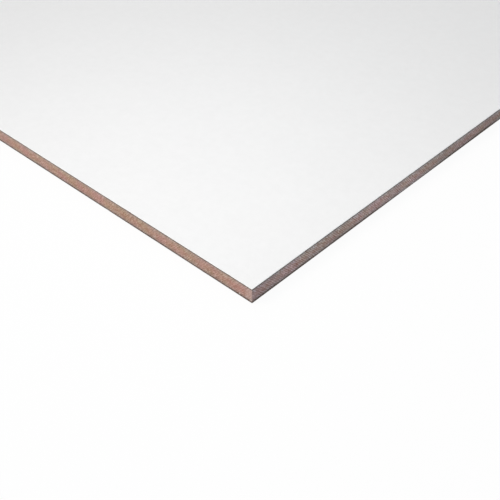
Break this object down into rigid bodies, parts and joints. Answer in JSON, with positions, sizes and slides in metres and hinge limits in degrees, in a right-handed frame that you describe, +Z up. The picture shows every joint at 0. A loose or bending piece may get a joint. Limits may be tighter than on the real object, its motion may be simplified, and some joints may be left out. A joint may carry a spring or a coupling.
{
  "type": "white-faced hardboard sheet",
  "caption": "Flat rectangular sheet of brown pressed-fibre hardboard with a smooth satin white face and square sawn edges, for panels, backs and linings.",
  "frame": {"origin": "middle of the underside, the plain brown face that the sheet lies on", "axes": "+X along the sheet's length, +Y along its width, +Z up through the thickness to the white face"},
  "size_m": [1.22, 0.61, 0.0032],
  "materials": {
    "brown_fibreboard": "matte",
    "white_facing": "satin"
  },
  "bodies": {
    "root": {"fibreboard": "brown_fibreboard", "white_facing": "white_facing"}
  },
  "joints": []
}
